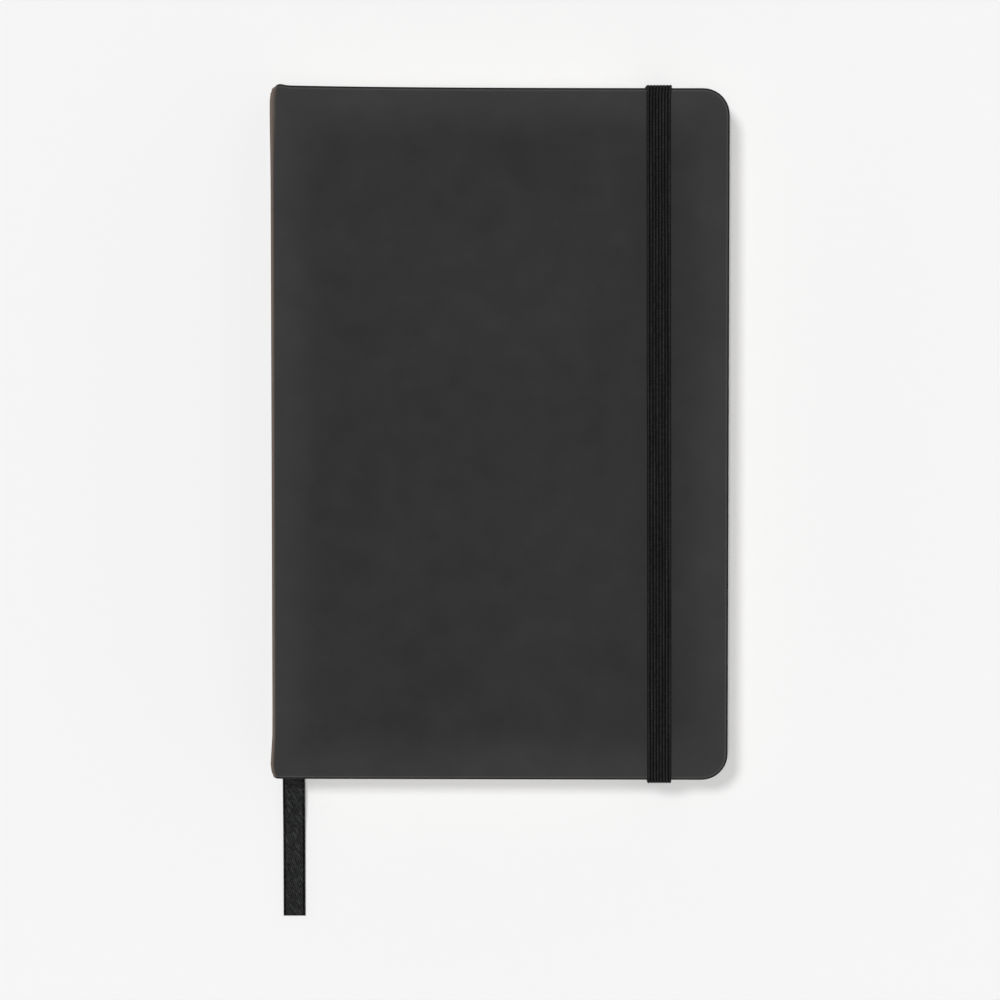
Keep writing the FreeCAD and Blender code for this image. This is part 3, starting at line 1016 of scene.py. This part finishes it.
@dataclass
class SewnSection:
    """One section: four folded sheets, one inside the other, that give eight leaves."""

    node: str
    seed: int
    sheets: int = 4
    paper: float = 0.112 * MM
    corner: float = 5.0 * MM
    gutter: float = 11.0 * MM
    map_step: float = 900.0

    def outline(self, radius: float, fore: float) -> tuple[Array, Array, Array]:
        """Middle line of one folded sheet, and its normal.

        It runs in along the lower leaf, round the fold and out along the upper leaf.

        Args:
            radius: Half the distance between the sheet's two leaves.
            fore: The x of the sheet's fore-edge.

        Returns:
            The line's points (n, 2) in x and z, its normals (n, 2) and each point's half height.
        """
        low, high = corner_of(self.node)
        middle = (low[2] + high[2]) / 2
        fold_x = low[0] + (high[2] - low[2]) / 2
        corner = fore - self.corner + self.corner * np.sin(np.linspace(0.0, math.pi / 2, 7))
        ease = fold_x + self.gutter * 1.5 * np.linspace(0.0, 1.0, 13)[1:] ** 1.3
        leg = np.concatenate([ease, np.linspace(ease[-1], corner[0], 5)[1:-1], corner])
        arc = np.linspace(0.0, math.pi, 9)
        none, one = np.zeros(len(leg)), np.ones(len(leg))
        x = np.concatenate([leg[::-1], fold_x - radius * np.sin(arc), leg])
        normal = np.stack([np.concatenate([none, -np.sin(arc), none]),
                           np.concatenate([-one, -np.cos(arc), one])], -1)
        line = np.stack([x, radius * normal[:, 1] + middle], -1)
        return line, normal, high[1] - corner_drop(x, fore, self.corner)

    def sheet(self, order: int, chance: np.random.Generator) -> list[Patch]:
        """One folded sheet, whose line moves out and in by half the paper's thickness.

        Args:
            order: 0 for the outer sheet, counted inwards.
            chance: Source of the small differences between sheets.

        Returns:
            The shell and its two ends.
        """
        low, high = corner_of(self.node)
        leaves = 2 * self.sheets
        radius = (high[2] - low[2]) / leaves * (leaves - 1 - 2 * order) / 2
        line, normal, half = self.outline(radius, high[0] - chance.uniform(0.0, 0.12) * MM)
        half = half - chance.uniform(0.0, 0.1) * MM
        faces = (line + normal * self.paper / 2, line - normal * self.paper / 2)
        own = self.seed * self.map_step + order * self.map_step / self.sheets
        return thin_sheet(faces, half, 5, run_of(line) / MM, own)

    def make(self, finish: Material) -> Object:
        """Make the section, which stands in for its CAD node.

        Args:
            finish: The paper.

        Returns:
            The object.
        """
        chance = np.random.default_rng(self.seed)
        patches = [patch for order in range(self.sheets) for patch in self.sheet(order, chance)]
        obj = build(self.node + "_leaves", patches, crease=50.0)
        obj.data.materials.append(finish)
        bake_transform(obj)
        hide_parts(self.node)
        return obj


@dataclass
class Flyleaf:
    """The free half of the front endpaper, which bends at the gutter."""

    node: str = "front_flyleaf"
    corner: float = 5.0 * MM
    gutter: float = 10.0 * MM
    inset: float = 0.02 * MM

    def make(self, finish: Material) -> Object:
        """Make the leaf as a thin closed sheet.

        Args:
            finish: The paper.

        Returns:
            The object.
        """
        low, high = corner_of(self.node)
        bend = low[0] + self.gutter * 1.6 * np.linspace(0.0, 1.0, 15)
        corner = high[0] - self.corner + self.corner * np.sin(np.linspace(0.0, math.pi / 2, 9))
        x = np.concatenate([bend, np.linspace(bend[-1], corner[0], 5)[1:-1], corner])
        half = high[1] - corner_drop(x, high[0], self.corner)
        obj = build(self.node + "_sheet", thin_sheet(
            (pair(x, high[2] - self.inset), pair(x, low[2] + self.inset)), half, 9), crease=50.0)
        obj.data.materials.append(finish)
        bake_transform(obj)
        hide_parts(self.node)
        return obj


@dataclass
class Headband:
    """A silk-covered bead at one end of the spine, with its cloth glued behind the folds."""

    node: str
    bead: float = 1.5 * MM
    rib: float = 0.5 * MM
    bow: float = 0.25 * MM
    cloth: float = 0.2 * MM

    def make(self, finish: Material) -> Object:
        """Make the bead as a ribbed tube and the tongue as a thin slab.

        The tube's radius is the bead's, less a ripple that repeats with each wrap of silk, and it
        closes at both ends.

        Args:
            finish: The silk.

        Returns:
            The object.
        """
        low, high = corner_of(self.node)
        way = 1.0 if high[1] > 0 else -1.0
        near, tip = (low[1], high[1]) if way > 0 else (high[1], low[1])
        middle_y = tip - way * self.bead / 2
        height = high[2] - low[2]
        t = np.linspace(0.0, 1.0, 106)[:, None]
        angle = np.linspace(0.0, 2 * math.pi, 25)[:-1]
        ripple = 1.0 - 0.09 * (0.5 + 0.5 * np.cos(2 * math.pi * t * height / self.rib + angle))
        close = np.sqrt(np.clip(1.0 - (2 * np.abs(t - 0.5)) ** 24, 0.0, 1.0))
        radius = self.bead / 2 * ripple * close
        points = np.empty((len(t), len(angle), 3))
        points[..., 0] = high[0] - self.bead / 2 + radius * np.cos(angle)
        points[..., 1] = middle_y + radius * np.sin(angle) - way * self.bow * (2 * t - 1) ** 2
        points[..., 2] = low[2] + t * height
        tube = Patch.grid(points, pair(angle * self.bead / 2 / MM, t * height / MM), ring=True)
        obj = build(self.node + "_silk", [tube, self.tongue(low, high, near, middle_y)], crease=60.0,
                    seal=True)
        obj.data.materials.append(finish)
        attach(obj, "spine")
        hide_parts(self.node)
        return obj

    def tongue(self, low: Array, high: Array, near: float, far: float) -> Patch:
        """The cloth behind the folds, as a ring round its thickness carried up the spine.

        Args:
            low: Lowest corner of the node.
            high: Highest corner of the node.
            near: The y of the cloth's end among the folds.
            far: The y where it meets the bead.

        Returns:
            The ring, whose two ends are open.
        """
        side = low[0] + self.cloth
        ring = np.array([[side, near], [side + self.cloth, near], [side + self.cloth, far], [side, far]])
        z = np.linspace(low[2] + 0.1 * MM, high[2] - 0.1 * MM, 12)[:, None]
        points = np.empty((len(z), len(ring), 3))
        points[..., :2] = ring
        points[..., 2] = z
        return Patch.grid(points, pair(ring[:, 1] / MM, z / MM), ring=True)


# ---------------------------------------------------------------- elastic and ribbon


@dataclass
class ElasticBand:
    """Flat braided elastic: rubber cords side by side, wrapped in thread.

    The band is a section carried along a path in the upright plane through its middle.  The
    section's half thickness rises over each cord as half a circle does.
    """

    cords: int = 8
    groove: float = 0.4
    stretched: float = 0.965
    shift: float = -0.15 * MM
    spread: float = 0.05
    spread_shift: float = 0.25 * MM
    spread_length: float = 1.5 * MM
    slant: float = 0.35 * MM
    path_bend: float = 0.75 * MM
    room: tuple[tuple[str, float, float], ...] = (("head", 1.0, 0.08 * MM), ("tail", -1.0, 0.36 * MM))
    glued: float = 15.0 * MM
    fixed_z: float = 0.9 * MM
    swing_z: float = 9.0 * MM
    stretch_gap: float = 0.6 * MM
    step: float = 1.5 * MM
    points_per_cord: int = 10
    foot_map_mm: float = 7.0

    def __post_init__(self) -> None:
        """Read the band's places from the frame."""
        self.low, self.high = corner_of("elastic_run")
        self.thick = self.high[2] - self.low[2]
        self.width = (self.high[0] - self.low[0]) * self.stretched
        self.middle_x = (self.high[0] + self.low[0]) / 2 + self.shift
        anchor = corner_of("elastic_anchor_head")[0]
        self.foot_z = anchor[2] + self.thick / 2
        self.slot_y = anchor[1] + self.glued

    def section(self) -> Array:
        """Half-thickness over the width: the groove's share, plus the rest as half a circle per cord.

        Returns:
            Points (n, 2): across, and half thickness.
        """
        u = np.linspace(0.0, self.cords, self.cords * self.points_per_cord + 1)
        rise = np.sqrt(np.clip(1.0 - (2 * (u % 1.0) - 1.0) ** 2, 0.0, 1.0))
        rise[-1] = 0.0
        half = self.thick / 2 * (self.groove + (1.0 - self.groove) * rise)
        half[[0, -1]] *= 0.55
        return np.stack([(u / self.cords - 0.5) * self.width, half], -1)

    def corner_path(self, points: list[tuple[float, float]]) -> Array:
        """A path of straight runs and quarter circles through square corners.

        Args:
            points: (y, z) of the ends and corners, in metres.

        Returns:
            Points (n, 2), about a step apart, and closer round the corners.
        """
        corners = np.array(points)
        path = [corners[0]]
        for before, at, after in zip(corners, corners[1:], corners[2:]):
            back = (before - at) / np.linalg.norm(before - at)
            ahead = (after - at) / np.linalg.norm(after - at)
            centre = at + (back + ahead) * self.path_bend
            swing = np.linspace(0.0, math.pi / 2, 9)[:, None]
            arc = centre - self.path_bend * (ahead * np.cos(swing) + back * np.sin(swing))
            path.extend([*self.run(path[-1], arc[0]), *arc])
        path.extend([*self.run(path[-1], corners[-1]), corners[-1]])
        return np.array(path)

    def run(self, start: Array, end: Array) -> Array:
        """Points one step apart between two places, without the two places.

        Args:
            start: The first place.
            end: The second place.

        Returns:
            Points (n, 2).
        """
        count = max(int(np.linalg.norm(end - start) / self.step), 1)
        t = np.linspace(0.0, 1.0, count + 1)[1:-1, None]
        return start + (end - start) * t

    def sweep(self, name: str, path: Array, begin_mm: float) -> Object:
        """Carry the section along a path, a little wider round the bend at the head.

        Args:
            name: The object's name.
            path: Points (n, 2) in y and z.
            begin_mm: The map's lengthwise coordinate at the start.

        Returns:
            The object.
        """
        ahead = heading(path)
        normal = np.stack([-ahead[:, 1], ahead[:, 0]], -1)
        section = self.section()
        across = np.concatenate([section[:, 0], section[::-1, 0]])
        half = np.concatenate([section[:, 1], -section[::-1, 1]])
        points = np.empty((len(path), len(across), 3))
        lean = -self.slant * path[:, 0] / self.high[1]
        bell = np.exp(-((path[:, 0] - self.high[1]) / self.spread_length) ** 2)
        bell = bell * smooth((path[:, 1] - self.high[2] + 5 * MM) / (3 * MM))
        lean = lean + self.spread_shift * bell
        points[..., 0] = self.middle_x + lean[:, None] + across * (1.0 + self.spread * bell)[:, None]
        points[..., 1:] = path[:, None, :] + half[None, :, None] * normal[:, None, :]
        flat = pair((across + self.width / 2) / MM, run_of(path)[:, None] / MM + begin_mm)
        return build(name, [Patch.grid(points, flat, ring=True)], crease=70.0, seal=True)

    def make(self, finish: Material) -> list[Object]:
        """Make the band in three pieces that meet where the legs swing free.

        Args:
            finish: The elastic's weave.

        Returns:
            The piece over the front cover and the two feet.
        """
        over_z = (self.low[2] + self.high[2]) / 2
        side = {end: way * (self.high[1] - self.thick / 2 + room) for end, way, room in self.room}
        over = self.sweep("elastic_over_cover", self.corner_path(
            [(side["tail"], self.swing_z), (side["tail"], over_z), (side["head"], over_z),
             (side["head"], self.swing_z)]), 0.0)
        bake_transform(over)
        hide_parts("elastic_run")
        pieces = [over]
        for end, way, _ in self.room:
            path = self.corner_path([(side[end], self.swing_z), (side[end], self.foot_z),
                                     (way * self.slot_y, self.foot_z)])
            foot = self.sweep("elastic_foot_" + end, path, self.foot_map_mm)
            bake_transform(foot)
            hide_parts("elastic_leg_" + end, "elastic_anchor_" + end)
            pieces.append(foot)
        for piece in pieces:
            piece.data.materials.append(finish)
        return pieces


@dataclass
class RegisterRibbon:
    """Flat woven ribbon, with a firmer selvedge along both sides.

    Its free end starts just inside the leaves, falls off the back cover's edge and lies on the
    table.  The route's points are the ribbon's middle, in metres.
    """

    width: float = 6.8 * MM
    thick: float = 0.2 * MM
    route: tuple[tuple[float, float, float], ...] = (
        (-0.0637, -0.0980, 0.00296), (-0.0637, -0.1060, 0.00296), (-0.0637, -0.1160, 0.00171),
        (-0.0637, -0.1260, 0.00012), (-0.0637, -0.1497, 0.00012))

    def centreline(self) -> Array:
        """Points along the smooth curve that the route controls.

        Returns:
            Array (n, 3), in metres.
        """
        curve = bpy.data.curves.new("ribbon_route", "CURVE")
        curve.dimensions = "3D"
        curve.resolution_u = 16
        spline = curve.splines.new("NURBS")
        spline.points.add(len(self.route) - 1)
        spline.points.foreach_set("co", np.array([(*p, 1.0) for p in self.route]).ravel())
        spline.order_u = 3
        spline.use_endpoint_u = True
        carrier = show("ribbon_route", curve)
        bpy.context.view_layer.update()
        mesh = bpy.data.meshes.new_from_object(carrier)
        line = np.empty(len(mesh.vertices) * 3)
        mesh.vertices.foreach_get("co", line)
        bpy.data.objects.remove(carrier)
        bpy.data.meshes.remove(mesh)
        return line.reshape(-1, 3)

    def sweep(self, name: str, line: Array, begin_mm: float) -> Object:
        """Carry the ribbon's flat section along a line that keeps its x.

        Args:
            name: The object's name.
            line: Points (n, 3).
            begin_mm: The map's lengthwise coordinate at the start.

        Returns:
            The object.
        """
        ahead = heading(line)
        normal = np.stack([np.zeros(len(line)), ahead[:, 2], -ahead[:, 1]], -1)
        u = np.linspace(-1.0, 1.0, 29)
        selvedge = 0.8 + 0.2 * smooth((np.abs(u) - 0.86) / 0.05)
        half = self.thick / 2 * selvedge * np.where(np.abs(u) > 0.995, 0.5, 1.0)
        across = np.concatenate([u, u[::-1]]) * self.width / 2
        lift = np.concatenate([half, -half[::-1]])
        points = line[:, None, :] + lift[None, :, None] * normal[:, None, :]
        points[..., 0] += across
        flat = pair(across / MM, run_of(line)[:, None] / MM + begin_mm)
        return build(name, [Patch.grid(points, flat, ring=True)], crease=60.0, seal=True)

    def make(self, finish: Material) -> list[Object]:
        """Make the part inside the block and the free end.

        Args:
            finish: The ribbon's satin.

        Returns:
            The two pieces.
        """
        low, high = corner_of("ribbon")
        z = (low[2] + high[2]) / 2
        start = np.array([(low[0] + high[0]) / 2, high[1], z])
        end = np.array([start[0], self.route[0][1], z])
        held = self.sweep("ribbon_in_block", start + (end - start) * np.linspace(0, 1, 40)[:, None], 0.0)
        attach(held, "back_cover")
        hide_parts("ribbon")
        line = self.centreline()
        free = self.sweep("ribbon_free_end", line, float(high[1] - self.route[0][1]) / MM)
        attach(free, "back_cover")
        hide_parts("ribbon_tail")
        for piece in (held, free):
            piece.data.materials.append(finish)
        return [held, free]


# ---------------------------------------------------------------- the setting


@dataclass(frozen=True)
class Lamp:
    """A far soft light: where it stands as a lean from straight above, how wide it looks, its power."""

    name: str
    lean_x: float
    lean_y: float
    width: float
    power: float

    def hang(self) -> None:
        """Add the lamp.  Its light comes down along its lean, in degrees to -X and to +Y."""
        data = bpy.data.lights.new(self.name, "SUN")
        data.angle = math.radians(self.width)
        data.energy = self.power
        obj = show(self.name, data)
        obj.rotation_euler = (-math.radians(self.lean_y), -math.radians(self.lean_x), 0.0)


@dataclass
class Studio:
    """Pale seamless floor, soft light from above and from the upper left, and the camera."""

    distance: float = 1.2
    field_width: float = 0.304
    sensor: float = 36.0
    tilt: float = 3.4
    look_y: float = -0.01965
    floor_tone: str = "#eeeeee"
    floor_half: float = 6.0
    floor_z: float = -0.4 * MM
    flat_radius: float = 2.2
    sweep_length: float = 3.6
    sweep_height: float = 1.6
    sky: float = 0.13
    lamps: tuple[Lamp, ...] = (Lamp("overhead", 2.0, 2.0, 9.0, 1.7), Lamp("key", 16.0, 18.0, 12.0, 1.22))

    def floor(self) -> None:
        """A sheet of background paper, flat under the book and swept up far from it.

        The height is a smooth step of the distance from the book.
        """
        u = np.linspace(-self.floor_half, self.floor_half, 65)
        x, y = np.meshgrid(u, u, indexing="ij")
        rise = smooth((np.hypot(x, y) - self.flat_radius) / self.sweep_length)
        points = np.stack([x, y, self.floor_z + self.sweep_height * rise], -1)
        obj = build("background_paper", [Patch.grid(points)])
        if obj.data.polygons[0].normal.z < 0:
            obj.data.flip_normals()
        obj.data.materials.append(SweepPaper("seamless_paper", self.floor_tone, 0.95, 0.0).make())

    def camera(self) -> None:
        """A long lens almost straight above, a little towards the head of the book."""
        data = bpy.data.cameras.new("camera")
        data.sensor_width = self.sensor
        data.lens = self.sensor * self.distance / self.field_width
        data.clip_start = 0.05
        lean = math.radians(self.tilt)
        top = corner_of("front_cover_wrap")[1][2]
        obj = show("camera", data)
        obj.location = (0.0, self.look_y + self.distance * math.sin(lean),
                        top + self.distance * math.cos(lean))
        obj.rotation_euler = (-lean, 0.0, 0.0)
        bpy.context.scene.camera = obj

    def make(self) -> None:
        """Set up floor, lamps, sky and camera."""
        self.floor()
        for lamp in self.lamps:
            lamp.hang()
        world = bpy.data.worlds.new("sky")
        world.use_nodes = True
        feed(world.node_tree, world.node_tree.nodes["Background"],
             {"Color": (1.0, 1.0, 1.0, 1.0), "Strength": self.sky})
        bpy.context.scene.world = world
        bpy.context.scene.view_settings.view_transform = "Standard"
        self.camera()


def dress(finishes: Finishes) -> None:
    """Give each CAD piece that stays in the book its finish.

    Args:
        finishes: The book's materials.
    """
    plain = {"back_board": finishes.board, "front_board": finishes.board, "spine_strip": finishes.board,
             "back_pastedown": finishes.endpaper, "front_pastedown": finishes.endpaper,
             "back_flyleaf": finishes.endpaper, "spine_lining": finishes.gauze,
             "sewing_thread": finishes.thread, "ribbon_glued_end": finishes.ribbon}
    for node, finish in plain.items():
        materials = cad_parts[node].data.materials
        materials.clear()
        materials.append(finish)


def main() -> None:
    """Make the setting with its camera, the ribbon and the rest of the book."""
    logging.basicConfig(level=logging.INFO, format="%(name)s: %(message)s")
    Studio().make()
    finishes = Finishes()
    RegisterRibbon().make(finishes.ribbon)
    dress(finishes)
    for side in Side:
        CaseSkin(side).make(finishes.skin)
    for number in range(1, SECTIONS + 1):
        node = f"signature_{number:02d}"
        SewnSection(node, number).make(finishes.leaves)
    Flyleaf().make(finishes.endpaper)
    for node in ("headband", "tailband"):
        Headband(node).make(finishes.band)
    ElasticBand().make(finishes.elastic)


if __name__ == "__main__":
    main()
